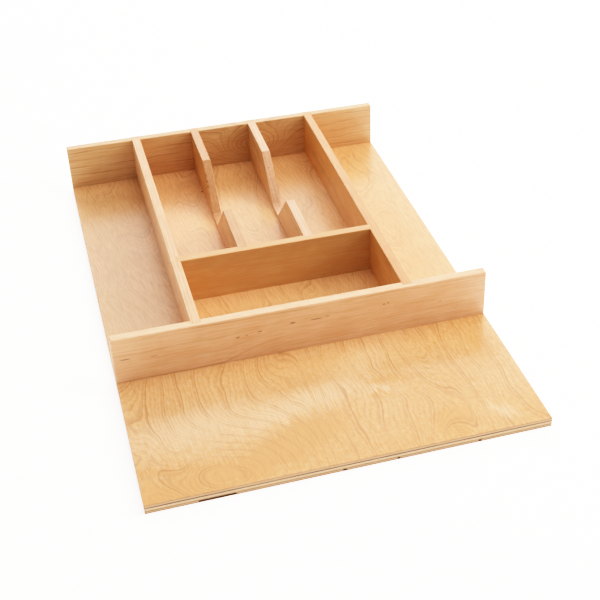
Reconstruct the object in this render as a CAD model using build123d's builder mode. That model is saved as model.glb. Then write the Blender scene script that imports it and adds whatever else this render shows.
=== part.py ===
from build123d import *
import os
from math import radians, tan

# Drawer organizer insert: hardwood rails and dividers, glued and nailed on a plywood base.
# All sizes are in millimetres. +X is to the right, +Y to the back and +Z up.
# The origin is the middle of the underside, on the surface that the insert rests on.

# Overall sizes
width = 371.5
depth = 558.8
wall_height = 50.8

# Base panel: its plies from the underside up, each with its thickness
plies = (
    ("ply_1_bottom_face", 0.6),
    ("ply_2_crossband", 1.4),
    ("ply_3_inner", 1.3),
    ("ply_4_centre", 2.2),
    ("ply_5_inner", 1.3),
    ("ply_6_crossband", 2.0),
    ("ply_7_top_face", 0.7),
)

# Gaps between the veneer strips of one ply, open at the front edge:
# each one's middle from the left side, its length along the edge and its reach inwards
gap_ply = "ply_2_crossband"
gaps = (
    (62.3, 33.0, 14.0),
    (175.5, 3.2, 4.0),
    (225.2, 2.4, 3.0),
    (301.8, 3.0, 4.0),
)
gap_inner_share = 0.6

# Rails and dividers
stock = 9.5
apron_depth = 167.0
box_depth = 102.0
slot_width = 60.3
slot_count = 3
ease = 0.8

# Housings, the grooves that the ends of the dividers sit in: their depths, and the room for glue
rail_housing = 4.8
side_housing = 3.2
cross_housing = 3.2
slip = 0.05
glue_gap = 0.1

# Finger notch in the two short dividers
notch_strip = 4.5
notch_floor = 22.4
notch_slope = 45.0
notch_inner_radius = 7.0
notch_outer_radius = 2.0

# Brads driven up through the base: wire nails with a T-shaped head and a chisel point
brad_length = 25.0
brad_wire_width = 1.2
brad_wire_depth = 1.0
brad_head_width = 2.0
brad_head_height = 0.5
brad_point = 1.6
brad_set = 0.3
brad_spacing = 80.0
brad_margin = 22.0
brad_cover = 12.0

# Places that follow from the sizes above
base_thickness = sum(thickness for _, thickness in plies)
front_edge = -depth / 2
front_rail_y = front_edge + apron_depth + stock / 2
back_rail_y = depth / 2 - stock / 2
front_rail_back = front_rail_y + stock / 2
back_rail_front = back_rail_y - stock / 2
cross_y = front_rail_back + box_depth + stock / 2
cross_back = cross_y + stock / 2
slot_pitch = slot_width + stock
long_divider_x = slot_count * slot_pitch / 2
short_divider_xs = [slot_pitch * (i - slot_count / 2) for i in range(1, slot_count)]
slot_xs = [slot_pitch * (i + 0.5 - slot_count / 2) for i in range(slot_count)]
board_top = base_thickness + wall_height
notch_y = (cross_back + back_rail_front) / 2
notch_floor_z = base_thickness + notch_strip
notch_rise = tan(radians(notch_slope))
half_floor = notch_floor / 2
half_mouth = half_floor + (board_top - notch_floor_z) / notch_rise

# Beside the notch a brad stands where the slope leaves brad_cover of wood past its point.
brad_tip_z = brad_set + brad_length
notch_brad_offset = half_floor + (brad_tip_z - notch_floor_z) / notch_rise + brad_cover


def brads_across(y):
    """Places of the brads under a board that runs left to right: the middle of each slot."""
    return [Location((x, y, brad_set)) for x in slot_xs]


def brads_along(x, ys):
    """Places of the brads under a board that runs front to back, each turned to lie along it."""
    return [Location((x, y, brad_set), (0, 0, 90)) for y in ys]


# No brad is nearer to the sides than the long dividers, because a fitter may saw off the ends.
front_rail_brads = brads_across(front_rail_y)
back_rail_brads = brads_across(back_rail_y)
cross_brads = brads_across(cross_y)
long_run = back_rail_front - front_rail_back - 2 * brad_margin
long_steps = max(1, round(long_run / brad_spacing))
long_brad_ys = [front_rail_back + brad_margin + long_run * i / long_steps for i in range(long_steps + 1)]
long_brads = {x: brads_along(x, long_brad_ys) for x in (-long_divider_x, long_divider_x)}
short_brad_ys = [
    cross_back + brad_margin,
    notch_y - notch_brad_offset,
    notch_y + notch_brad_offset,
    back_rail_front - brad_margin,
]
short_brads = {x: brads_along(x, short_brad_ys) for x in short_divider_xs}
all_brads = front_rail_brads + back_rail_brads + cross_brads
for places in (*long_brads.values(), *short_brads.values()):
    all_brads += places


def finish(piece, name):
    """Names a finished piece and writes it to its own file."""
    piece.part.label = name
    export_step(piece.part, f"parts/{name}.step")


def make_brad_shape():
    """One brad, head down at the origin: its flat outline, made as thick as the wire."""
    with BuildPart() as brad:
        with BuildSketch(Plane.XZ):
            with BuildLine():
                Polyline(
                    (-brad_head_width / 2, 0),
                    (brad_head_width / 2, 0),
                    (brad_head_width / 2, brad_head_height),
                    (brad_wire_width / 2, brad_head_height),
                    (brad_wire_width / 2, brad_length - brad_point),
                    (0, brad_length),
                    (-brad_wire_width / 2, brad_length - brad_point),
                    (-brad_wire_width / 2, brad_head_height),
                    (-brad_head_width / 2, brad_head_height),
                    close=True,
                )
            make_face()
        extrude(amount=brad_wire_depth / 2, both=True)
    return brad.part


brad_shape = make_brad_shape()


def press_in_brads(places):
    """Takes out of the piece being made the wood that brads at these places push aside."""
    with Locations(*places):
        add(brad_shape, mode=Mode.SUBTRACT)


def cut_gap(bottom, thickness, middle, length, reach):
    """One gap between veneer strips, open at the front edge and narrower inside."""
    inner = length * gap_inner_share
    with BuildSketch(Plane.XY.offset(bottom)) as outline:
        with BuildLine():
            Polyline(
                (middle - length / 2, front_edge),
                (middle + length / 2, front_edge),
                (middle + inner / 2, front_edge + reach),
                (middle - inner / 2, front_edge + reach),
                close=True,
            )
        make_face()
    extrude(outline.sketch, amount=thickness, mode=Mode.SUBTRACT)


def make_ply(name, bottom, thickness):
    """One ply of the base, with the brads' slots and, in one ply, the gaps at its front edge."""
    with BuildPart() as ply:
        with BuildSketch(Plane.XY.offset(bottom)):
            Rectangle(width, depth)
        extrude(amount=thickness)
        if name == gap_ply:
            for from_left, length, reach in gaps:
                cut_gap(bottom, thickness, from_left - width / 2, length, reach)
        press_in_brads(all_brads)
    finish(ply, name)


def raise_board(x, y, size_x, size_y):
    """A straight board standing on the base, with the edges of its top face eased."""
    with BuildSketch(Plane.XY.offset(base_thickness)) as outline:
        with Locations((x, y)):
            Rectangle(size_x, size_y)
    board = extrude(outline.sketch, amount=wall_height)
    fillet(board.faces().sort_by(Axis.Z)[-1].edges(), ease)


def cut_housing(x, y, size_x, size_y):
    """A groove down the whole height of a board, centred at this place."""
    with BuildSketch(Plane.XY.offset(base_thickness)) as outline:
        with Locations((x, y)):
            Rectangle(size_x, size_y)
    extrude(outline.sketch, amount=wall_height, mode=Mode.SUBTRACT)


def make_rail(name, rail_y, inward, divider_xs, brads):
    """A rail across the whole base, with a housing on its inward side for each divider."""
    with BuildPart() as rail:
        raise_board(0, rail_y, width, stock)
        for x in divider_xs:
            housing_y = rail_y + inward * (stock - rail_housing) / 2
            cut_housing(x, housing_y, stock + 2 * slip, rail_housing)
        press_in_brads(brads)
    finish(rail, name)


def make_long_divider(name, x, inward, brads):
    """A divider from rail to rail, with a housing on its inward side for the cross divider."""
    start = front_rail_back - rail_housing + glue_gap
    end = back_rail_front + rail_housing - glue_gap
    with BuildPart() as divider:
        raise_board(x, (start + end) / 2, stock, end - start)
        housing_x = x + inward * (stock - side_housing) / 2
        cut_housing(housing_x, cross_y, side_housing, stock + 2 * slip)
        press_in_brads(brads)
    finish(divider, name)


def make_cross_divider(name):
    """The divider between the box and the slots, with housings behind for the short dividers."""
    length = 2 * (long_divider_x - stock / 2 + side_housing - glue_gap)
    with BuildPart() as divider:
        raise_board(0, cross_y, length, stock)
        for x in short_divider_xs:
            cut_housing(x, cross_back - cross_housing / 2, stock + 2 * slip, cross_housing)
        press_in_brads(cross_brads)
    finish(divider, name)


def make_short_divider(name, x, brads):
    """A divider between two slots, with sloping sides cut down to a finger notch in its middle."""
    start = cross_back - cross_housing + glue_gap
    end = back_rail_front + rail_housing - glue_gap
    with BuildPart() as divider:
        with BuildSketch(Plane.YZ.offset(x)):
            with BuildLine():
                Polyline(
                    (start, base_thickness),
                    (end, base_thickness),
                    (end, board_top),
                    (notch_y + half_mouth, board_top),
                    (notch_y + half_floor, notch_floor_z),
                    (notch_y - half_floor, notch_floor_z),
                    (notch_y - half_mouth, board_top),
                    (start, board_top),
                    close=True,
                )
            make_face()
            mouth = vertices().filter_by_position(Axis.X, notch_y - half_mouth, notch_y + half_mouth)
            fillet(mouth.group_by(Axis.Y)[-1], notch_outer_radius)
            floor = vertices().filter_by_position(Axis.X, notch_y - half_floor, notch_y + half_floor)
            fillet(floor.group_by(Axis.Y)[0], notch_inner_radius)
        extrude(amount=stock / 2, both=True)
        rims = edges().filter_by(lambda edge: edge.center().Z > notch_floor_z - ease)
        fillet(rims.filter_by(lambda edge: abs(abs(edge.center().X - x) - stock / 2) < slip), ease)
        press_in_brads(brads)
    finish(divider, name)


def make_brads():
    """All the brads, which are alike, in one group of separate solids."""
    with BuildPart() as brads:
        with Locations(*all_brads):
            add(brad_shape)
    finish(brads, "brads")


os.makedirs("parts", exist_ok=True)
ply_bottom = 0.0
for ply_name, ply_thickness in plies:
    make_ply(ply_name, ply_bottom, ply_thickness)
    ply_bottom += ply_thickness
make_rail("front_rail", front_rail_y, 1, [-long_divider_x, long_divider_x], front_rail_brads)
make_rail("back_rail", back_rail_y, -1, [-long_divider_x, *short_divider_xs, long_divider_x], back_rail_brads)
make_long_divider("long_divider_left", -long_divider_x, 1, long_brads[-long_divider_x])
make_long_divider("long_divider_right", long_divider_x, -1, long_brads[long_divider_x])
make_cross_divider("cross_divider")
for side_name, short_x in zip(("left", "right"), short_divider_xs):
    make_short_divider(f"notched_divider_{side_name}", short_x, short_brads[short_x])
make_brads()
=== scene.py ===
from math import e, pi, radians

import bpy
import numpy as np
from bpy.props import FloatProperty, FloatVectorProperty, PointerProperty
from mathutils import Matrix, Vector


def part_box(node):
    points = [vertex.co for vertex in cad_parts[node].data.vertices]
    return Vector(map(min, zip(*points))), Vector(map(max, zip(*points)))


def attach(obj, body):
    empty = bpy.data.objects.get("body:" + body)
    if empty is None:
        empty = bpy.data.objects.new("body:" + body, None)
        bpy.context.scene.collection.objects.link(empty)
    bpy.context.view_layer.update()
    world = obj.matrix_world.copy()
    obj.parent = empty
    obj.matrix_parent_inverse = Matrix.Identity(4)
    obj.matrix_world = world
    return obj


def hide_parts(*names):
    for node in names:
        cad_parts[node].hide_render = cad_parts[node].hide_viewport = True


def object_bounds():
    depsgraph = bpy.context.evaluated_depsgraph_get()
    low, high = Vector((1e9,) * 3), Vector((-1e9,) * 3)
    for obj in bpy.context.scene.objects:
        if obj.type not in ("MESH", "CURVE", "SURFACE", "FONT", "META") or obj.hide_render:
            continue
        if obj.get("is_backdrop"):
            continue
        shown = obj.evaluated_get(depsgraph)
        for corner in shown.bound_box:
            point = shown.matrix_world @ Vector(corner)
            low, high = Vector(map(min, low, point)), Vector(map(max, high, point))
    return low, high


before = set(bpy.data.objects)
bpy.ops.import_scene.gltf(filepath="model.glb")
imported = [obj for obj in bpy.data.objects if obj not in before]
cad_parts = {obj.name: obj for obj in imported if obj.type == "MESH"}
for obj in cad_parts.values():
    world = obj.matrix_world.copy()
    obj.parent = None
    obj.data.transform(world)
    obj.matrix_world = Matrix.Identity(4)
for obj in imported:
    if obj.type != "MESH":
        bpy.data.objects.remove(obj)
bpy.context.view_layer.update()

bl_info = {
    "name": "Drawer Organizer Insert",
    "version": (1, 0, 0),
    "blender": (4, 5, 0),
    "location": "View3D > Sidebar > Organizer",
    "description": "Builds a maple and birch drawer organizer around its CAD model",
    "category": "Object",
}

MM = 0.001
X, Y = 0, 1

# The smallest step: from one station to the next where a face or an edge changes at once, and the arris of an
# end that is hidden in a housing
SHARP = 0.05 * MM

LONG_DIVIDERS = ("long_divider_left", "long_divider_right")
SHORT_DIVIDERS = ("notched_divider_left", "notched_divider_right")

# The ply with gaps between its strips, and the gaps in millimetres: middle from the left side, length, reach
GAP_PLY = "ply_2_crossband"
VENEER_GAPS = ((62.3, 33.0, 14.0), (175.5, 3.2, 4.0), (225.2, 2.4, 3.0), (301.8, 3.0, 4.0))

# The veneers between the two faces: node, slot, grain, how tan it is, and how many reliefs it stands back
INNER_PLIES = (
    ("ply_2_crossband", "birch_crossband", X, 1.1, 1.0),
    ("ply_3_inner", "birch_inner", Y, 0.5, 1.4),
    ("ply_4_centre", "birch_crossband", X, 0.2, 0.5),
    ("ply_5_inner", "birch_inner", Y, 1.25, 1.4),
    ("ply_6_crossband", "birch_crossband", X, 0.95, 0.5),
)

# Figure of the face veneer, in millimetres from the middle of the sheet.
# Patches, partly the veneer's figure and partly painted sheen and shade of the lacquer: place, length, width,
# angle of its length in radians, and how much paler it is.
FIGURE_AND_SHEEN_PATCHES = (
    (-32, -194, 62, 13, 0.28, 0.9),
    (48, -149, 34, 20, 0.45, 0.5),
    (-42, -239, 58, 17, 0.40, -0.65),
    (-125, -192, 48, 24, 0.30, 0.7),
    (100, -205, 46, 20, 0.10, -0.25),
    (145, 60, 36, 170, 0.0, -0.45),
    (-145, 90, 30, 120, 0.0, -0.2),
    (-150, -268, 60, 14, 0.15, -0.45),
    (60, -181, 26, 6, -0.2, -0.7),
    (47.6, -200, 8, 4, 0.2, -0.9),
    (50, -192, 10, 4, 0.1, 0.7),
    (101, -258, 15, 16, 0.0, -0.6),
    (147, -256, 13, 8, -0.7, 0.8),
    (166, -160, 12, 34, 0.0, -0.4),
    (-142, -248, 46, 4, -0.2, -0.9),
)
# Loops: place, length, width, angle, and how far the growth lines are lifted
LOOPS = (
    (98, -118, 15, 62, 0.05, 42),
    (94, -290, 15, 26, 0.0, 38),
    (-95, -264, 62, 48, 0.0, -135),
    (-182, -60, 40, 60, 0.3, -60),
    (-150, 120, 24, 90, 0.1, 45),
    (150, 60, 22, 110, -0.1, -50),
    (-75, 170, 18, 70, 0.0, 36),
    (5, 120, 16, 80, 0.1, -40),
)
# Pins, which are small knots: place and radius
PINS = ((-40.4, 214.1, 1.7),)
# The rosy side of the sheet: place, length, width and angle
ROSY_SIDE = (-160.0, 60.0, 62.0, 200.0, 0.0)
# The figure is strongest on the apron: where it begins to fade, under the front rail, and where it has faded
APRON_FADE = (-118.0, -90.0)
# The bottom ply's upper face, which shows dark in the gaps as painted shade: heights where the dark begins,
# where it is full, where it fades and where it has gone
GAP_FLOOR_SHADE = (0.5, 0.56, 5.0, 6.0)

# Mineral marks in millimetres: on the front rail's face, place along it, height, half length and half width;
# on a notch's slope, place along the board, place across it, height, half length and half width
FRONT_MARKS = (
    (-67.0, 37.3, 2.6, 1.0),
    (-58.2, 37.8, 1.3, 0.7),
    (-45.3, 39.8, 3.0, 0.8),
    (-12.8, 42.8, 3.6, 1.2),
    (10.8, 42.2, 8.0, 0.8),
    (21.8, 43.3, 3.4, 0.5),
    (79.3, 44.8, 1.8, 1.0),
    (83.5, 45.3, 1.5, 0.9),
    (138.0, 35.8, 2.8, 0.5),
    (-174.8, 36.2, 6.5, 0.8),
    (-148.0, 34.5, 4.5, 0.5),
)
LEFT_RAMP_MARKS = (
    (179.7, -39.3, 42.2, 2.6, 1.1),
    (175.2, -39.3, 37.7, 2.2, 0.9),
    (173.7, -35.0, 37.2, 0.7, 0.5),
    (184.6, -39.2, 47.2, 1.5, 0.9),
)
RIGHT_RAMP_MARKS = ((182.2, 34.6, 45.7, 1.0, 0.9),)

# Chips of the left ramp's edge, in millimetres: place along the board, half length and depth
RAMP_CHIPS = ((184.5, 3.2, 1.5), (179.5, 2.4, 2.2), (174.5, 3.5, 2.6), (168.5, 2.5, 1.2))

# The wood of each board, as settings for the maple below. In the dividers that run from front to back the
# growth layers stand upright and close together. Each board's colour factor holds painted shade of its faces
# within the box besides the board's own colour, and the colour of its upper faces is painted light on the
# tops.
UPRIGHT = {"lean": (1.0, 0.1), "spacing": 4.0}
BOARD_WOODS = {
    "front_rail": {"seed": 1, "rises": ((-88, -14, 37.5, 56), (26, 122, 40, 56))},
    # Darker and warmer: partly the board's own colour, partly painted shade of its face in the slots.
    "back_rail": {
        "seed": 4,
        "colour_and_side_shade": (0.82, 0.85, 0.74),
        "warmth": 0.4,
        "spacing": 10.0,
        "wander": 9.0,
        "strength": 1.0,
        "knots": ((35, 31, 33, 19, 78.0),),
    },
    "long_divider_left": {"seed": 2, "colour_and_side_shade": (1.03, 0.93, 0.80), "painted_top_light": (0.93, 0.94, 1.0), **UPRIGHT},
    "long_divider_right": {"seed": 6, "colour_and_side_shade": (0.90, 0.79, 0.475), "painted_top_light": (0.95, 0.77, 0.76), **UPRIGHT},
    # Much darker and warmer sides as painted shade of its faces within the box, with the upper face lifted
    # back as painted light.
    "cross_divider": {
        "seed": 9,
        "colour_and_side_shade": (0.70, 0.70, 0.51),
        "warmth": 0.5,
        "strength": 0.12,
        "wander": 9.0,
        "painted_top_light": (1.3, 1.1, 1.05),
    },
    "notched_divider_left": {
        "seed": 3,
        "colour_and_side_shade": (0.75, 0.73, 0.47),
        "painted_top_light": (0.97, 0.78, 0.86),
        "soak": 1.05,
        "marks": LEFT_RAMP_MARKS,
        **UPRIGHT,
    },
    "notched_divider_right": {
        "seed": 8,
        "colour_and_side_shade": (0.90, 0.915, 0.78),
        "painted_top_light": (1.0, 0.92, 1.1),
        "soak": 0.32,
        "marks": RIGHT_RAMP_MARKS,
        **UPRIGHT,
    },
}

# Steel of the brads, where it is clean and where it has dulled
STEEL_CLEAN = (0.62, 0.61, 0.58)
STEEL_DULL = (0.42, 0.41, 0.39)


# Surfaces: each board or ply is a rounded rectangle carried along its length.


def rounded_rings(low, high, bottom, top, crown, foot, steps=6, left_crown=None):
    """One ring for each station: four quarter circles joined by straight sides.

    Each quarter is its corner's centre plus the corner's radius times the cosine and the sine of an angle
    that turns through ninety degrees. The crown is the radius of the upper corners, the foot that of the
    lower ones. The upper corner on the left may have a radius of its own.
    """
    left_crown = crown if left_crown is None else left_crown
    turn = np.linspace(0, pi / 2, steps)
    corners = (
        (high - crown, top - crown, crown),
        (low + left_crown, top - left_crown, left_crown),
        (low + foot, bottom + foot, foot),
        (high - foot, bottom + foot, foot),
    )
    quarters = []
    for quarter, (side, up, radius) in enumerate(corners):
        angle = turn + quarter * pi / 2
        arc_side = side[:, None] + radius[:, None] * np.cos(angle)
        arc_up = up[:, None] + radius[:, None] * np.sin(angle)
        quarters.append(np.stack([arc_side, arc_up], axis=-1))
    return np.concatenate(quarters, axis=1)


def carried_mesh(name, stations, rings, axis):
    """A closed skin: ring i lies at stations[i] on the axis, quads join each ring to the next, and a flat
    face closes each end. On a board along Y the faces are turned round, so that they point outwards."""
    count, around = rings.shape[:2]
    points = np.empty((count, around, 3))
    points[..., axis] = stations[:, None]
    points[..., 1 - axis] = rings[..., 0]
    points[..., 2] = rings[..., 1]
    row = np.arange(count - 1)[:, None] * around
    here = np.arange(around)[None, :]
    after = (here + 1) % around
    quads = np.stack([row + here, row + after, row + around + after, row + around + here], axis=-1)
    quads = quads.reshape(-1, 4)
    first = np.arange(around)[::-1]
    last = np.arange(around) + (count - 1) * around
    if axis == Y:
        quads, first, last = quads[:, ::-1], first[::-1], last[::-1]
    mesh = bpy.data.meshes.new(name)
    mesh.from_pydata(points.reshape(-1, 3), [], [*quads.tolist(), first.tolist(), last.tolist()])
    mesh.shade_smooth()
    return mesh


def soft_ends(start, end, arris, steps=5):
    """Stations near both ends, and how far the ring is drawn in at each: a quarter circle in the plane of the
    length and the section, so a station's distance from the end is the arris times one minus the cosine of
    the angle, and its drawing in the arris times one minus the sine."""
    turn = np.linspace(0, pi / 2, steps)
    away = arris * (1 - np.cos(turn))
    drawn = arris * (1 - np.sin(turn))
    return (start + away, drawn), ((end - away)[::-1], drawn[::-1])


def add_piece(mesh, node, material):
    """Puts a mesh in the scene in place of a CAD node, riding on the only body."""
    piece = bpy.data.objects.new(mesh.name, mesh)
    bpy.context.scene.collection.objects.link(piece)
    piece.data.materials.append(material)
    normals = piece.modifiers.new("even_normals", "WEIGHTED_NORMAL")
    normals.mode = "FACE_AREA"
    normals.weight = 100
    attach(piece, "root")
    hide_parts(node)
    return piece


def housings_for(node, axis, guests, slip, glue):
    """Where other boards end inside this one: from, to and depth of each housing, and on which side."""
    low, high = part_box(node)
    found = []
    side = 0
    for guest in guests:
        guest_low, guest_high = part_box(guest)
        if guest_low[1 - axis] > low[1 - axis]:
            side, depth = 1, high[1 - axis] - guest_low[1 - axis] + glue
        else:
            side, depth = -1, guest_high[1 - axis] - low[1 - axis] + glue
        found.append((guest_low[axis] - slip, guest_high[axis] + slip, depth))
    return sorted(found), side


def straight_board(node, axis, cut, end_arris, guests=(), hosts=()):
    """A straight board in the box of its CAD node. Stations stand at the rounded ends and on both edges of
    each housing, where the face that the housing is cut in steps back by the housing's depth. The tops are
    eased after glueing, so the upper edges are crisp wherever two boards meet: in this board's housings, and
    at its ends as far as the hosts hold them."""
    low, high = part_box(node)
    near, far = soft_ends(low[axis], high[axis], end_arris)
    housings, side = housings_for(node, axis, guests, cut.slip, cut.glue)
    faces = held_faces(axis, hosts, low, high)
    steps = [(faces[0], 0, cut.crisp), (faces[0] + SHARP, 0, cut.arris)] if hosts else []
    for start, end, depth in housings:
        steps += [(start - SHARP, 0, cut.arris), (start, depth, cut.crisp)]
        steps += [(end, depth, cut.crisp), (end + SHARP, 0, cut.arris)]
    steps += [(faces[1] - SHARP, 0, cut.arris), (faces[1], 0, cut.crisp)] if hosts else []
    middle = np.array(steps).reshape(-1, 3)
    ends = np.full(len(near[0]), cut.crisp if hosts else cut.arris)
    stations = np.concatenate([near[0], middle[:, 0], far[0]])
    drawn = np.concatenate([near[1], np.zeros(len(middle)), far[1]])
    back = np.concatenate([np.zeros(len(near[0])), middle[:, 1], np.zeros(len(far[0]))])
    crown = np.concatenate([ends, middle[:, 2], ends])
    rings = rounded_rings(
        low[1 - axis] + drawn + back * (side < 0),
        high[1 - axis] - drawn - back * (side > 0),
        low[2] + drawn,
        high[2] - drawn,
        crown,
        np.full(len(stations), cut.foot),
    )
    return carried_mesh(f"{node}_board", stations, rings, axis)


def held_faces(axis, hosts, low, high):
    """Where a board comes out of the two boards that hold its ends."""
    if not hosts:
        return low[axis], high[axis]
    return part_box(hosts[0])[1][axis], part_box(hosts[1])[0][axis]


def notch_outline(middle, top, floor_z, half_floor, slope, inner, outer, steps=9):
    """Stations and heights of the notch's edge. Each half has an arc at the floor, of the inner radius, an
    arc at the top, of the outer radius, and the straight slope between them. Both arcs turn through the
    slope's angle, and reach past their corner by the radius times the tangent of half that angle."""
    turn = np.linspace(0, slope, steps)
    rise = np.tan(slope)
    foot_start = half_floor - inner * np.tan(slope / 2)
    low_y = foot_start + inner * np.sin(turn)
    low_z = floor_z + inner * (1 - np.cos(turn))
    head_end = half_floor + (top - floor_z) / rise + outer * np.tan(slope / 2)
    high_y = head_end - outer * np.sin(turn[::-1])
    high_z = top - outer * (1 - np.cos(turn[::-1]))
    half_y = np.concatenate([low_y, high_y])
    half_z = np.concatenate([low_z, high_z])
    along = np.concatenate([middle - half_y[::-1], middle + half_y])
    return along, np.concatenate([half_z[::-1], half_z])


def notched_board(node, notch, cut, end_arris, chips=()):
    """A board from front to back whose height follows the notch's edge from station to station. A chip is a
    place where the grain tore out of the left upper edge: the radius of that edge grows there by the chip's
    depth times a hill, which is one minus the distance over the half length, to the power of the hollow."""
    low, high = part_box(node)
    near, far = soft_ends(low.y, high.y, end_arris)
    hollow = 0.7
    stations_per_chip = 9
    faces = held_faces(Y, ("cross_divider", "back_rail"), low, high)
    middle = sum(faces) / 2
    floor_z = low.z + notch.strip
    notch_y, notch_z = notch_outline(
        middle, high.z, floor_z, notch.floor / 2, notch.slope, notch.inner_radius, notch.outer_radius
    )
    spread = np.linspace(-1, 1, stations_per_chip)
    chip_y = [place + length * spread for place, length, _ in chips]
    edge_y = np.concatenate([[faces[0], faces[0] + SHARP], notch_y, [faces[1] - SHARP, faces[1]]])
    edge_z = np.concatenate([[high.z] * 2, notch_z, [high.z] * 2])
    inner_y = np.unique(np.concatenate([edge_y, *chip_y]))
    inner_z = np.interp(inner_y, edge_y, edge_z)
    held = np.where((inner_y > faces[0]) & (inner_y < faces[1]), cut.arris, cut.crisp)
    ends = np.full(len(near[0]), cut.crisp)
    stations = np.concatenate([near[0], inner_y, far[0]])
    drawn = np.concatenate([near[1], np.zeros(len(inner_y)), far[1]])
    tops = np.concatenate([high.z - near[1], inner_z, high.z - far[1]])
    crown = np.concatenate([ends, held, ends])
    torn = crown.copy()
    for place, length, depth in chips:
        torn += depth * np.clip(1 - np.abs(stations - place) / length, 0, 1) ** hollow
    rings = rounded_rings(
        low.x + drawn,
        high.x - drawn,
        low.z + drawn,
        tops,
        crown,
        np.full(len(stations), cut.foot),
        left_crown=torn,
    )
    return carried_mesh(f"{node}_board", stations, rings, Y)


def gap_reach(xs, gaps, rough):
    """How far the veneer is missing at each station: for each gap a flat-topped hill, whose straight sides
    each take up a fifth of its length. The depth also wanders by the product of a slow and a quick sine,
    because the strips of veneer are torn and not sawn there."""
    side_share = 0.2
    slow, quick = 900, 2300
    reach = np.zeros(len(xs))
    for middle, length, depth in gaps:
        hill = np.clip((length / 2 - np.abs(xs - middle)) / (side_share * length), 0, 1)
        reach = np.maximum(reach, hill * depth)
    return reach * (1 - rough * (0.5 + 0.5 * np.sin(xs * slow) * np.sin(xs * quick)))


def veneer_sheet(node, relief, crown, foot, gaps=(), rough=0.2, seed=0):
    """One ply, carried along X. Its front edge lies back from the sawn line by the relief and by small random
    steps of the saw, and much further in a gap between strips of veneer. Stations stand about two millimetres
    apart, and closer together at the sides of a gap."""
    low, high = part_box(node)
    chance = np.random.default_rng(seed)
    near, far = soft_ends(low.x, high.x, foot, steps=3)
    even_stations = 186
    shares = (0.6, 0.98, 1.0, 1.02)
    halves = [side * share / 2 for side in (-1, 1) for share in shares]
    sides = [middle + length * half for middle, length, _ in gaps for half in halves]
    even = np.linspace(low.x + 1 * MM, high.x - 1 * MM, even_stations)
    inner = np.unique(np.concatenate([even, sides]))
    stations = np.concatenate([near[0], inner, far[0]])
    drawn = np.concatenate([near[1], np.zeros(len(inner)), far[1]])
    saw = chance.uniform(0, relief, len(stations))
    reach = relief + saw + gap_reach(stations, gaps, rough)
    rings = rounded_rings(
        low.y + drawn + reach,
        high.y - drawn - relief,
        low.z + drawn * 0,
        high.z - drawn * 0,
        np.full(len(stations), crown),
        np.full(len(stations), foot),
        steps=4,
    )
    return carried_mesh(f"{node}_sheet", stations, rings, X)


# Finishes: node trees written as arithmetic on sockets.


class Wire:
    """A socket on which arithmetic adds Math nodes."""

    def __init__(self, finish, socket):
        self.finish = finish
        self.socket = socket

    def math(self, operation, first, second):
        return self.finish.add("ShaderNodeMath", {"operation": operation}, {0: first, 1: second})

    def __add__(self, other):
        return self.math("ADD", self, other)

    def __radd__(self, other):
        return self.math("ADD", other, self)

    def __sub__(self, other):
        return self.math("SUBTRACT", self, other)

    def __rsub__(self, other):
        return self.math("SUBTRACT", other, self)

    def __mul__(self, other):
        return self.math("MULTIPLY", self, other)

    def __rmul__(self, other):
        return self.math("MULTIPLY", other, self)

    def __truediv__(self, other):
        return self.math("DIVIDE", self, other)

    def __pow__(self, other):
        return self.math("POWER", self, other)

    def __rpow__(self, other):
        return self.math("POWER", other, self)

    def __abs__(self):
        return self.math("ABSOLUTE", self, 0.0)

    def fraction(self):
        return self.math("FRACT", self, 0.0)


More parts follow.
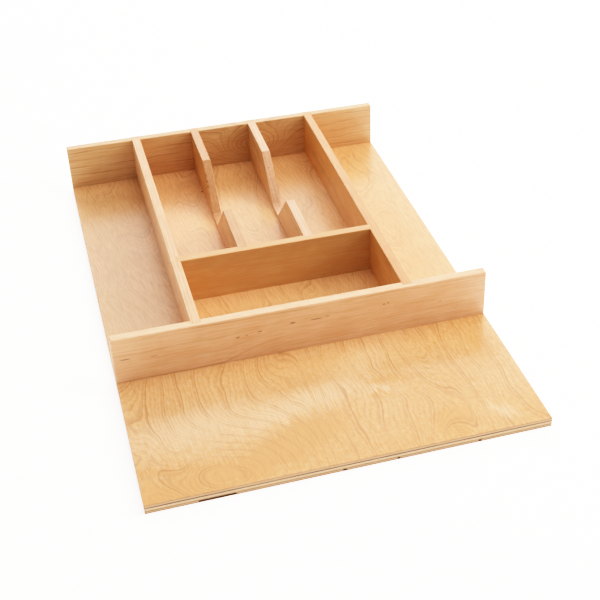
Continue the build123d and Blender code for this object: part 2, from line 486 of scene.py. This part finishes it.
class Finish:
    """A material in the making, with one method that adds any node to it."""

    def __init__(self, name):
        self.material = bpy.data.materials.new(name)
        self.material.use_nodes = True
        self.tree = self.material.node_tree
        self.tree.nodes.clear()

    def add(self, kind, settings=None, sockets=None, out=0):
        """Adds a node: its settings are set first, then its sockets get values or links."""
        node = self.tree.nodes.new(kind)
        for key, value in (settings or {}).items():
            setattr(node, key, value)
        for key, value in (sockets or {}).items():
            if isinstance(value, Wire):
                self.tree.links.new(value.socket, node.inputs[key])
            else:
                node.inputs[key].default_value = value
        return Wire(self, node.outputs[out]) if len(node.outputs) else node

    def noise(self, place, detail=2.0, roughness=0.5, distortion=0.0):
        """Smooth noise between about 0.2 and 0.8. Each coordinate of the place is in millimetres, divided by
        the length that the figure has that way."""
        vector = self.add("ShaderNodeCombineXYZ", {}, dict(zip("XYZ", place)))
        values = {"Vector": vector, "Scale": 1.0, "Detail": detail, "Roughness": roughness}
        values["Distortion"] = distortion
        return self.add("ShaderNodeTexNoise", {}, values)

    def step(self, value, low, high, to_low=0.0, to_high=1.0):
        """A smooth step: to_low below low, to_high above high, and an S-shaped rise between them."""
        values = {"Value": value, "From Min": low, "From Max": high, "To Min": to_low, "To Max": to_high}
        return self.add("ShaderNodeMapRange", {"interpolation_type": "SMOOTHSTEP"}, values)

    def mix(self, factor, first, second, blend="MIX"):
        """Mixes two colours."""
        settings = {"data_type": "RGBA", "blend_type": blend}
        sockets = {0: factor, 6: self.colour(first), 7: self.colour(second)}
        return self.add("ShaderNodeMix", settings, sockets, out=2)

    def colour(self, value):
        return value if isinstance(value, Wire) else (*value[:3], 1.0)

    def axes(self, grain):
        """Object coordinates in millimetres as three wires: along the grain, across it, and up."""
        place = self.add("ShaderNodeTexCoord", out="Object")
        scaled = self.add("ShaderNodeVectorMath", {"operation": "SCALE"}, {0: place, "Scale": 1 / MM})
        split = self.add("ShaderNodeSeparateXYZ", {}, {0: scaled})
        parts = [Wire(self, split.socket.node.outputs[i]) for i in range(3)]
        return parts[grain], parts[1 - grain], parts[2]

    def hill(self, across, along, place_x, place_y, length, width, turn=0.0):
        """A round-topped hill of height 1: e to the power of minus the square of the distance from its place,
        in units of its length and width. Turn is the angle of its length."""
        side = (across - place_x) * np.cos(turn) + (along - place_y) * np.sin(turn)
        front = (along - place_y) * np.cos(turn) - (across - place_x) * np.sin(turn)
        far = (side / length) ** 2 + (front / width) ** 2
        return e ** (far * -1)

    def facing(self, axis):
        """How squarely the surface faces along an axis, from 0 to 1."""
        normal = self.add("ShaderNodeNewGeometry", out="True Normal")
        split = self.add("ShaderNodeSeparateXYZ", {}, {0: normal})
        return abs(Wire(self, split.socket.node.outputs[axis]))

    def bump(self, height, depth):
        """A normal for a surface that is uneven by this depth in metres."""
        return self.add("ShaderNodeBump", {}, {"Strength": 1.0, "Distance": depth, "Height": height})

    def surface(self, sockets):
        """Ends the material with its one shader."""
        shader = self.add("ShaderNodeBsdfPrincipled", {}, sockets)
        self.add("ShaderNodeOutputMaterial", {}, {"Surface": shader})
        return self.material

    def lacquered(self, colour, roughness, height, depth, look, build=1.0):
        """Wood under a satin lacquer. Build is how thickly it lies, and raw wood has less of it."""
        sockets = {
            "Base Color": colour,
            "Roughness": roughness,
            "Normal": self.bump(height, depth),
            "Specular IOR Level": 0.4,
            "Coat Weight": look.coat * build,
            "Coat Roughness": look.coat_roughness,
        }
        return self.surface(sockets)


def line_peak(finish, phase, sharpness):
    """A thin line once per turn of the phase: it rises from the sharpness to the peak, then falls at once."""
    peak = 0.97
    part = phase.fraction()
    rise = finish.step(part, sharpness, peak)
    fall = finish.step(part, peak, 1.0)
    return rise * (1 - fall)


def maple(
    name, look, grain, seed, colour_and_side_shade=(1, 1, 1), warmth=0.2, lean=(0.12, 1.0), spacing=15.7, wander=4.0,
    strength=0.55, soak=1.0, painted_top_light=(1, 1, 1), rises=(), knots=(), marks=(),
):
    """Solid maple. Growth layers are surfaces of equal level, and the level grows across and up the board as
    it leans, with noise drawn out along the grain. A rise lifts the lower layers along a stretch of the
    board, a knot pulls them into loops, and a mark is a short dark streak of mineral stain.

    The board's colour factor holds its own colour together with painted shade of its sides, warmth is its
    share of the warm colour, which on some boards is painted shade too, and strength is that of its growth
    lines. The colour of upper faces is multiplied by a colour of their own, painted light that sets the tops
    apart from the shaded sides, and soak is how far the end grain has darkened.
    """
    finish = Finish(name)
    along, across, up = finish.axes(grain)
    shift = seed * 37.0
    drawn = finish.noise(((along + shift) / 95, across / 22, (up + shift) / 26), detail=2.0)
    wobble = finish.noise(((along + shift) / 17, across / 12, up / 9), detail=1.0)
    level = across * lean[0] + up * lean[1] + (drawn - 0.5) * wander + (wobble - 0.5) * (wander * 0.4)
    for begin, end, lift, top in rises:
        level = level - finish.step(along, begin, end) * finish.step(up, top, 0.0, 0.0, lift)
    loops = 0.0
    for place, height, length, width, lift in knots:
        hill = finish.hill(along, up, place, height, length, width)
        loops = loops + hill
        level = level + lift * hill
    uneven = finish.noise((level * 0.11, shift, along / 400), detail=1.0)
    patchy = finish.noise((level * 0.07, along / 55, shift))
    first_line = 0.155
    line_width = 1.9
    major = line_peak(finish, level / spacing + first_line, 1 - line_width / spacing)
    minor = line_peak(finish, level / 3.1 + uneven * 3, 0.45)
    heavy = finish.step(patchy, 0.35, 0.65, 0.3, 1.0) + loops * 1.2
    fibre = finish.noise(((along + shift) / 14, across * 2.1, up * 2.1), detail=3.0, roughness=0.6)
    streak = finish.noise(((along + shift) / 45, across / 1.6, up / 1.6), detail=3.0, roughness=0.65)
    pores = finish.noise(((along + shift) / 5, across * 4.5, up * 4.5), detail=1.0)
    sheen = finish.noise(((along + shift) / 21, across / 18, (up - along * 0.4) / 18), detail=2.0)
    tone = finish.step(sheen + (uneven - 0.5) * 0.8, 0.25, 0.75) * 0.4
    tone = tone + finish.step(streak, 0.36, 0.64) * 0.55
    # The board's colour factor carries painted shade of its sides as well as its own colour.
    pale = [share * part for share, part in zip(look.maple_pale, colour_and_side_shade)]
    warm = [share * part for share, part in zip(look.maple_warm, colour_and_side_shade)]
    sawn = [share * part / max(colour_and_side_shade) for share, part in zip(look.end_grain, colour_and_side_shade)]
    base = finish.mix(tone + (warmth - 0.12), pale, warm)
    base = finish.mix(major * heavy * strength + minor * heavy * strength * 0.4, base, look.maple_line)
    base = finish.mix(finish.step(fibre, 0.36, 0.64) * 0.5, base, look.maple_fibre, "MULTIPLY")
    base = finish.mix(finish.step(pores, 0.62, 0.74) * 0.25, base, look.maple_line)
    # Upper faces get a colour of their own: painted light that sets the tops apart from the shaded sides.
    top_with_painted_light = finish.mix(1.0, base, painted_top_light, "MULTIPLY")
    base = finish.mix(finish.step(finish.facing(2), 0.5, 0.7), base, top_with_painted_light)
    end = finish.step(finish.facing(grain), 0.3, 0.9)
    mottle = finish.noise((along / 5, across / 2.2, up / 3), detail=3.0, roughness=0.6)
    base = finish.mix(end * finish.step(mottle, 0.38, 0.62, 0.05, 0.95) * soak, base, sawn)
    for place, side, height, length, width in marks:
        bow = (up - height) - finish.noise((along / 9, place, height), detail=1.0) * 1.2 + 0.6
        far = ((along - place) / length) ** 2 + (bow / width) ** 2 + ((across - side) / (width * 1.5)) ** 2
        base = finish.mix(finish.step(far, 0.1, 1.0, 0.75, 0.0), base, look.mineral_and_gap_shade)
    roughness = finish.step(fibre, 0.25, 0.75, 0.42, 0.56) + end * 0.15
    bump = fibre * 0.6 + pores * 0.25 + major * 0.15
    return finish.lacquered(base, roughness, bump, 0.05 * MM, look)


def birch_face(name, look, patches=(), loops=(), pins=()):
    """Rotary-cut birch veneer. The knife peels round the log, so growth layers show as contour lines of a
    slow field, which is the place across the sheet plus slow noise and a few loops. The fibres run front to
    back. Patches of the sheet turn paler or honey-coloured, partly as figure and partly as painted sheen and
    shade of the lacquer, a pin is a small knot, and one side is rosy. Towards the apron's front edge the
    veneer turns darker honey, as painted shade where the lacquer's reflection ends. The figure is stronger on
    the apron. The sawn edge is darker than the face, and the bottom ply's upper face, seen through the gaps,
    is darkest, as painted shade of the gaps.
    """
    finish = Finish(name)
    along, across, up = finish.axes(Y)
    slow = finish.noise((across / 62, along / 120, 0.4), detail=1.5, roughness=0.4, distortion=0.35)
    wave = finish.noise((across / 13, along / 26, 2.0), detail=2.0)
    field = across + (slow - 0.5) * 90 + (wave - 0.5) * 4.5
    for place_x, place_y, length, width, turn, lift in loops:
        field = field + finish.hill(across, along, place_x, place_y, length, width, turn) * lift
    lines = line_peak(finish, field / 23, 0.88)
    second = line_peak(finish, field / 23 + 0.13, 0.90)
    heavy = finish.step(finish.noise((across / 35, along / 60, 5.0)), 0.36, 0.56, 0.35, 1.0)
    apron = finish.step(along, *APRON_FADE, 1.0, 0.0)
    heavy = heavy * (apron * 0.35 + 0.65)
    faint = line_peak(finish, field / 4.6, 0.5)
    slant = across + along * 0.12
    fibre = finish.noise((slant * 1.9, along / 11, 1.0), detail=3.0, roughness=0.6)
    streak = finish.noise((slant / 1.2, along / 28, 3.0), detail=3.0, roughness=0.65)
    ripple = finish.noise((slant / 6, along / 1.8, 8.0), detail=2.0)
    mottle = finish.noise((slant / 2.6, along / 6, 6.0), detail=3.0)
    cloud = finish.noise(((across + along * 0.35) / 60, (along - across * 0.3) / 38, 7.0), detail=2.0)
    feathered = along + (finish.noise((slant / 3.5, along / 60, 9.0), detail=2.0) - 0.5) * 40
    glow = 0.45 + finish.step(cloud, 0.25, 0.75) * 0.15 + (mottle - 0.5) * (apron * 0.7 + 0.6)
    glow = glow + (ripple - 0.5) * (apron * 0.7 + 0.15)
    # Painted shade: darker honey towards the apron's front edge, where the lacquer's reflection ends.
    glow = glow - finish.step(along, -195, -250) * 0.28
    # Patches, partly the veneer's figure and partly painted sheen and shade.
    for place_x, place_y, length, width, turn, lift in patches:
        glow = glow + finish.hill(across, feathered, place_x, place_y, length, width, turn) * lift
    base = finish.mix(glow, look.birch_honey, look.birch_pale)
    base = finish.mix((lines + second * 0.8) * heavy * 0.5, base, look.birch_line)
    streaked = finish.step(streak, 0.42, 0.68) * (0.38 - apron * 0.12)
    base = finish.mix(faint * heavy * 0.27 + streaked, base, look.birch_line)
    base = finish.mix(finish.step(fibre, 0.36, 0.64) * 0.35, base, look.maple_fibre, "MULTIPLY")
    rosy = finish.hill(across, along, *ROSY_SIDE)
    base = finish.mix(rosy * 0.8, base, look.birch_rose, "MULTIPLY")
    for place_x, place_y, radius in pins:
        spot = finish.hill(across, along, place_x, place_y, radius, radius)
        base = finish.mix(finish.step(spot, 0.3, 0.7, 0.0, 0.9), base, look.mineral_and_gap_shade)
    edge = finish.step(finish.facing(2), 0.4, 0.8, 1.0, 0.0)
    base = finish.mix(edge * 0.6, base, look.ply_dark)
    # Painted shade on the bottom ply's upper face, at the back of the gaps.
    gap_floor_shade = finish.step(up, *GAP_FLOOR_SHADE[:2]) * finish.step(up, *GAP_FLOOR_SHADE[2:], 1.0, 0.0)
    base = finish.mix(gap_floor_shade * 0.95, base, look.mineral_and_gap_shade)
    roughness = finish.step(fibre, 0.25, 0.75, 0.40, 0.52)
    bump = fibre * 0.6 + lines * 0.2 + faint * 0.1
    return finish.lacquered(base, roughness, bump, 0.04 * MM, look, 1.15)


def birch_core(name, look, grain, seed, shade):
    """The veneers within the base. Where the sawn edge lies along the grain it shows pale streaks, and where
    it cuts across the grain it shows dark open pores. Shade is how far the ply is from pale to tan. From near
    to far behind the sawn edge, as in a gap, the wood turns dark: painted shade of the gap's recess."""
    finish = Finish(name)
    along, across, up = finish.axes(grain)
    shift = seed * 53.0
    streak = finish.noise(((along + shift) / 25, across / 4, up * 2.6), detail=3.0, roughness=0.6)
    pore = finish.noise((along / 3, across * 1.7, up * 3.1), detail=2.0, roughness=0.7)
    blotch = finish.noise((along / 30, across / 30, shift), detail=1.0)
    side = finish.mix(finish.step(streak, 0.3, 0.7) * 0.5 + (shade - 0.25), look.ply_pale, look.ply_tan)
    side = finish.mix(finish.step(pore, 0.6, 0.75) * 0.3, side, look.ply_dark)
    end = finish.mix(finish.step(pore, 0.3, 0.7) * 0.6 + (shade - 0.3), look.ply_tan, look.ply_dark)
    end = finish.mix(finish.step(blotch, 0.4, 0.7) * 0.3, end, look.ply_tan)
    base = finish.mix(finish.step(finish.facing(grain), 0.4, 0.8), side, end)
    # Painted shade of the gaps: the deeper behind the sawn edge, the darker.
    low, high = (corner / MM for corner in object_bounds())
    wide, deep = (across, along) if grain == Y else (along, across)
    near, far = 0.6, 2.5
    gap_shade = finish.step(deep, low.y + near, low.y + far)
    gap_shade = gap_shade * finish.step(deep, high.y - far, high.y - near, 1.0, 0.0)
    gap_shade = gap_shade * finish.step(abs(wide), high.x - far, high.x - near, 1.0, 0.0)
    base = finish.mix(gap_shade * 0.93, base, look.mineral_and_gap_shade)
    roughness = finish.step(pore, 0.3, 0.7, 0.55, 0.75)
    return finish.lacquered(base, roughness, pore + streak, 0.08 * MM, look, 0.5)


def bright_steel(name):
    """Drawn wire: steel with fine scratches along its length, dulled in places."""
    finish = Finish(name)
    along, across, up = finish.axes(Y)
    scratch = finish.noise((along * 9, across * 9, up / 2), detail=2.0)
    dull = finish.noise((along / 2, across / 2, up / 3), detail=2.0)
    colour = finish.mix(finish.step(dull, 0.3, 0.7), STEEL_CLEAN, STEEL_DULL)
    roughness = finish.step(scratch, 0.3, 0.7, 0.25, 0.42)
    normal = finish.bump(scratch, 0.01 * MM)
    sockets = {"Base Color": colour, "Metallic": 1.0, "Roughness": roughness, "Normal": normal}
    return finish.surface(sockets)


# Settings that a user would change


def length_setting(name, description, default):
    kind = {"min": 0, "subtype": "DISTANCE", "unit": "LENGTH"}
    return FloatProperty(name=name, description=description, default=default, **kind)


def amount_setting(name, description, default):
    return FloatProperty(name=name, description=description, default=default, min=0)


def place_setting(name, description, default):
    return FloatVectorProperty(name=name, description=description, default=default, subtype="TRANSLATION")


def colour_setting(name, description, default):
    return FloatVectorProperty(
        name=name, description=description, default=default, size=3, min=0, max=1, subtype="COLOR"
    )


class OrganizerBoardSettings(bpy.types.PropertyGroup):
    """How the rails and dividers are cut."""

    arris: length_setting("Arris", "Radius of the eased edges along the top of each board", 0.8 * MM)
    end_arris: length_setting("End arris", "Radius of the eased edges at the ends of the rails", 0.8 * MM)
    crisp: length_setting("Crisp edge", "Radius of the upper edges where two boards meet", 0.1 * MM)
    foot: length_setting("Foot", "Radius of the edges that stand on the base", 0.25 * MM)
    slip: length_setting("Slip", "Room on each side of a board that sits in a housing", 0.05 * MM)
    glue: length_setting("Glue room", "Room for glue at the bottom of a housing", 0.1 * MM)


class OrganizerNotchSettings(bpy.types.PropertyGroup):
    """The finger notch of the two short dividers."""

    strip: length_setting("Strip", "Height of the strip that is left under the notch", 4.5 * MM)
    floor: length_setting("Floor", "Length of the notch's level floor", 22.4 * MM)
    slope: FloatProperty(
        name="Slope",
        description="Angle of the notch's sides",
        default=radians(45),
        min=radians(20),
        max=radians(80),
        subtype="ANGLE",
        unit="ROTATION",
    )
    inner_radius: length_setting("Inner radius", "Radius where a side meets the floor", 7 * MM)
    outer_radius: length_setting("Outer radius", "Radius where a side meets the top", 2 * MM)


class OrganizerPlySettings(bpy.types.PropertyGroup):
    """How the sawn edges of the base look."""

    relief: length_setting("Relief", "How far a ply may stand back from the sawn line", 0.06 * MM)
    arris: length_setting("Arris", "Radius of the edge of the upper face", 0.45 * MM)
    crease: length_setting("Crease", "Radius of the edges where two plies meet", 0.06 * MM)


class OrganizerWoodSettings(bpy.types.PropertyGroup):
    """Colours of the woods and the gloss of the lacquer."""

    maple_pale: colour_setting("Maple, pale", "Lightest maple", (0.886, 0.578, 0.36))
    maple_warm: colour_setting("Maple, warm", "Warmest maple", (0.776, 0.428, 0.232))
    maple_line: colour_setting("Maple, line", "Late wood in the growth lines", (0.46, 0.24, 0.10))
    maple_fibre: colour_setting("Fibre", "Shade between the fibres", (0.86, 0.78, 0.70))
    end_grain: colour_setting("End grain", "Maple cut across the grain", (0.4, 0.2, 0.125))
    # Also the colour of the painted shade in the gaps.
    mineral_and_gap_shade: colour_setting("Mineral", "Mineral streaks and pin knots", (0.16, 0.07, 0.03))
    birch_pale: colour_setting("Birch, pale", "Palest birch veneer", (0.9, 0.545, 0.3))
    birch_honey: colour_setting("Birch, honey", "Darkest clouds in the birch veneer", (0.75, 0.357, 0.12))
    birch_rose: colour_setting("Birch, rose", "Rosy cast of one side of the sheet", (0.78, 0.835, 0.93))
    birch_line: colour_setting("Birch, line", "Contour lines of the birch veneer", (0.42, 0.18, 0.06))
    ply_pale: colour_setting("Ply, pale", "Inner plies seen along the grain", (0.72, 0.49, 0.29))
    ply_tan: colour_setting("Ply, tan", "Inner plies, darker streaks", (0.55, 0.33, 0.17))
    ply_dark: colour_setting("Ply, dark", "Inner plies cut across the grain", (0.17, 0.09, 0.055))
    coat: FloatProperty(name="Lacquer", description="Strength of the lacquer", default=0.45, min=0, max=1)
    coat_roughness: FloatProperty(name="Satin", description="How matt it is", default=0.22, min=0, max=1)


class OrganizerStageSettings(bpy.types.PropertyGroup):
    """Floor, light and camera."""

    floor: colour_setting("Floor", "Colour of the floor", (0.93, 0.93, 0.93))
    floor_glow: amount_setting("Floor glow", "Light that the floor gives off", 1.22)
    warmth: colour_setting("Warmth", "Colour of the lamps and of the surround", (1.0, 0.945, 0.88))
    sky: amount_setting("Sky", "Strength of the light from all round", 0.62)
    overhead: amount_setting("Overhead", "Power of the soft box overhead", 25.0)
    side: amount_setting("Side", "Power of the soft box on the right", 60.0)
    backdrop: amount_setting("Backdrop", "Power of the wide soft box behind", 61.0)
    camera_place: place_setting("Camera", "Where the camera stands", (-0.2191, -1.0263, 0.7415))
    camera_aim: place_setting("Aim", "What the camera looks at", (0.0747, -0.0237, 0.0))
    camera_roll: FloatProperty(
        name="Roll",
        description="Tilt of the camera",
        default=radians(-0.752),
        subtype="ANGLE",
        unit="ROTATION",
    )
    camera_shift: FloatVectorProperty(
        name="Shift", description="Shift in parts of the frame's width", default=(-0.0897, -0.0130), size=2
    )
    lens: FloatProperty(name="Lens", description="Focal length in millimetres", default=72.89, min=1)
    contrast: amount_setting("Contrast", "Power that light is raised to", 1.27)
    knee: amount_setting("Knee", "Level from which light nears white ever more slowly", 0.15)
    white: amount_setting("White", "Light at the end of the film's curve", 4.0)


# Operators


class ORGANIZER_OT_plies(bpy.types.Operator):
    """Build the seven veneers of the base"""

    bl_idname = "organizer.plies"
    bl_label = "Plywood Base"

    def execute(self, context):
        look = context.scene.organizer_wood
        ply = context.scene.organizer_ply
        face = birch_face("birch_face_veneer", look, FIGURE_AND_SHEEN_PATCHES, LOOPS, PINS)
        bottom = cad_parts["ply_1_bottom_face"]
        bottom.data.materials.clear()
        bottom.data.materials.append(face)
        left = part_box(GAP_PLY)[0].x
        gaps = [(left + middle * MM, length * MM, reach * MM) for middle, length, reach in VENEER_GAPS]
        crease, relief = ply.crease, ply.relief
        for seed, (node, slot, grain, shade, back) in enumerate(INNER_PLIES):
            open_at = gaps if node == GAP_PLY else ()
            mesh = veneer_sheet(node, relief * back, crease, crease, open_at, seed=seed + 2)
            add_piece(mesh, node, birch_core(f"birch_{node}", look, grain, seed + 1, shade))
        mesh = veneer_sheet("ply_7_top_face", relief * 0.3, ply.arris, crease, seed=7)
        add_piece(mesh, "ply_7_top_face", face)
        return {"FINISHED"}


class ORGANIZER_OT_rails(bpy.types.Operator):
    """Build the front rail and the back rail"""

    bl_idname = "organizer.rails"
    bl_label = "Rails"

    def execute(self, context):
        look = context.scene.organizer_wood
        cut = context.scene.organizer_boards
        front_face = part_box("front_rail")[0].y / MM
        front_marks = [(place, front_face, *rest) for place, *rest in FRONT_MARKS]
        for node, guests, marks in (
            ("front_rail", LONG_DIVIDERS, front_marks),
            ("back_rail", LONG_DIVIDERS + SHORT_DIVIDERS, ()),
        ):
            mesh = straight_board(node, X, cut, cut.end_arris, guests)
            wood = maple(f"maple_{node}", look, X, marks=marks, **BOARD_WOODS[node])
            add_piece(mesh, node, wood)
        return {"FINISHED"}


class ORGANIZER_OT_dividers(bpy.types.Operator):
    """Build the two long dividers and the cross divider"""

    bl_idname = "organizer.dividers"
    bl_label = "Straight Dividers"

    def execute(self, context):
        look = context.scene.organizer_wood
        cut = context.scene.organizer_boards
        rails = ("front_rail", "back_rail")
        for node, axis, guests, hosts in (
            ("long_divider_left", Y, ("cross_divider",), rails),
            ("long_divider_right", Y, ("cross_divider",), rails),
            ("cross_divider", X, SHORT_DIVIDERS, LONG_DIVIDERS),
        ):
            mesh = straight_board(node, axis, cut, SHARP, guests, hosts)
            wood = maple(f"maple_{node}", look, axis, **BOARD_WOODS[node])
            add_piece(mesh, node, wood)
        return {"FINISHED"}


class ORGANIZER_OT_notched_dividers(bpy.types.Operator):
    """Build the two short dividers with a finger notch"""

    bl_idname = "organizer.notched_dividers"
    bl_label = "Notched Dividers"

    def execute(self, context):
        look = context.scene.organizer_wood
        cut = context.scene.organizer_boards
        notch = context.scene.organizer_notch
        for node, chips in zip(SHORT_DIVIDERS, (RAMP_CHIPS, ())):
            torn = [tuple(part * MM for part in chip) for chip in chips]
            mesh = notched_board(node, notch, cut, SHARP, torn)
            wood = maple(f"maple_{node}", look, Y, **BOARD_WOODS[node])
            add_piece(mesh, node, wood)
        return {"FINISHED"}


class ORGANIZER_OT_brads(bpy.types.Operator):
    """Give the brads their steel"""

    bl_idname = "organizer.brads"
    bl_label = "Brads"

    def execute(self, context):
        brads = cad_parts["brads"]
        brads.data.materials.clear()
        brads.data.materials.append(bright_steel("bright_steel"))
        return {"FINISHED"}


class ORGANIZER_OT_stage(bpy.types.Operator):
    """Set up the floor, the soft studio light and the camera"""

    bl_idname = "organizer.stage"
    bl_label = "Stage"

    def execute(self, context):
        stage = context.scene.organizer_stage
        self.add_floor(context.scene, stage)
        self.add_light(context.scene, stage)
        self.add_camera(context.scene, stage)
        return {"FINISHED"}

    def add_floor(self, scene, stage):
        """A wide level sheet under the object, at the height of the surface that it rests on."""
        finish = Finish("pale_floor")
        sockets = {
            "Base Color": (*stage.floor, 1.0),
            "Roughness": 0.9,
            "Specular IOR Level": 0.1,
            "Emission Color": (1.0, 1.0, 1.0, 1.0),
            "Emission Strength": stage.floor_glow,
        }
        reach = 4.0
        corners = [(-reach, -reach, 0), (reach, -reach, 0), (reach, reach, 0), (-reach, reach, 0)]
        mesh = bpy.data.meshes.new("floor")
        mesh.from_pydata(corners, [], [(0, 1, 2, 3)])
        mesh.materials.append(finish.surface(sockets))
        floor = bpy.data.objects.new("floor", mesh)
        scene.collection.objects.link(floor)
        floor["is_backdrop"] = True

    def add_light(self, scene, stage):
        """An even surround, and three soft boxes aimed at the object: one overhead, one on the right, and a
        wide low one behind, whose reflection whitens the lacquer wherever the back rail doesn't hide it."""
        world = bpy.data.worlds.new("studio")
        world.use_nodes = True
        background = world.node_tree.nodes["Background"]
        background.inputs["Color"].default_value = (*stage.warmth, 1.0)
        background.inputs["Strength"].default_value = stage.sky
        scene.world = world
        for name, power, size, place in (
            ("overhead_box", stage.overhead, (1.5, 1.5), (0.45, 0.05, 1.65)),
            ("side_box", stage.side, (1.2, 1.2), (2.0, -0.5, 1.2)),
            ("backdrop_box", stage.backdrop, (3.2, 1.3), (0.3, 2.1, 1.22)),
        ):
            light = bpy.data.lights.new(name, "AREA")
            light.color = stage.warmth
            light.energy = power
            light.shape = "RECTANGLE"
            light.size, light.size_y = size
            lamp = bpy.data.objects.new(name, light)
            turn = (-Vector(place)).to_track_quat("-Z", "Y").to_matrix().to_4x4()
            lamp.matrix_world = Matrix.Translation(place) @ turn
            scene.collection.objects.link(lamp)

    def add_camera(self, scene, stage):
        """The camera looks along a line, is rolled about it, and is shifted as the framing needs."""
        camera = bpy.data.cameras.new("camera")
        camera.lens = stage.lens
        camera.sensor_width = 36
        camera.shift_x, camera.shift_y = stage.camera_shift
        seen_from = bpy.data.objects.new("camera", camera)
        place = Vector(stage.camera_place)
        aim = Vector(stage.camera_aim) - place
        turn = aim.to_track_quat("-Z", "Y").to_matrix().to_4x4()
        seen_from.matrix_world = Matrix.Translation(place) @ turn @ Matrix.Rotation(stage.camera_roll, 4, "Z")
        scene.collection.objects.link(seen_from)
        scene.camera = seen_from
        self.set_film(scene.view_settings, stage)

    def set_film(self, film, stage):
        """How the film holds light. Light to the power of the contrast deepens the shade. Past the knee
        the rest of the way to white is covered ever more slowly, as one minus e to the power of minus the
        light, so that pale wood doesn't burn out. The curve's input is divided by the white level, and its
        points stand closer together in the dark."""
        knee, white = stage.knee, stage.white
        film.view_transform = "Standard"
        film.use_curve_mapping = True
        curves = film.curve_mapping
        curves.white_level = (white, white, white)
        points = 26
        light = white * np.linspace(0, 1, points)[1:-1] ** 2
        shown = light**stage.contrast
        room = 1 - knee
        shown = np.where(shown < knee, shown, knee + room * (1 - np.exp((knee - shown) / room)))
        for place, level in zip(light / white, shown):
            curves.curves[3].points.new(place, level)
        curves.update()


class ORGANIZER_PT_panel(bpy.types.Panel):
    """Lists the pieces of the organizer"""

    bl_label = "Drawer Organizer"
    bl_idname = "ORGANIZER_PT_panel"
    bl_space_type = "VIEW_3D"
    bl_region_type = "UI"
    bl_category = "Organizer"

    def draw(self, context):
        for operator in OPERATORS:
            self.layout.operator(operator.bl_idname)


SETTINGS = {
    "organizer_boards": OrganizerBoardSettings,
    "organizer_notch": OrganizerNotchSettings,
    "organizer_ply": OrganizerPlySettings,
    "organizer_wood": OrganizerWoodSettings,
    "organizer_stage": OrganizerStageSettings,
}
OPERATORS = (
    ORGANIZER_OT_plies,
    ORGANIZER_OT_rails,
    ORGANIZER_OT_dividers,
    ORGANIZER_OT_notched_dividers,
    ORGANIZER_OT_brads,
    ORGANIZER_OT_stage,
)


def register():
    for name, group in SETTINGS.items():
        bpy.utils.register_class(group)
        setattr(bpy.types.Scene, name, PointerProperty(type=group))
    for operator in OPERATORS:
        bpy.utils.register_class(operator)
    bpy.utils.register_class(ORGANIZER_PT_panel)


def unregister():
    bpy.utils.unregister_class(ORGANIZER_PT_panel)
    for operator in reversed(OPERATORS):
        bpy.utils.unregister_class(operator)
    for name, group in reversed(SETTINGS.items()):
        delattr(bpy.types.Scene, name)
        bpy.utils.unregister_class(group)


def main():
    register()
    bpy.ops.organizer.stage()
    bpy.ops.organizer.plies()
    bpy.ops.organizer.rails()
    bpy.ops.organizer.dividers()
    bpy.ops.organizer.notched_dividers()
    bpy.ops.organizer.brads()


if __name__ == "__main__":
    main()
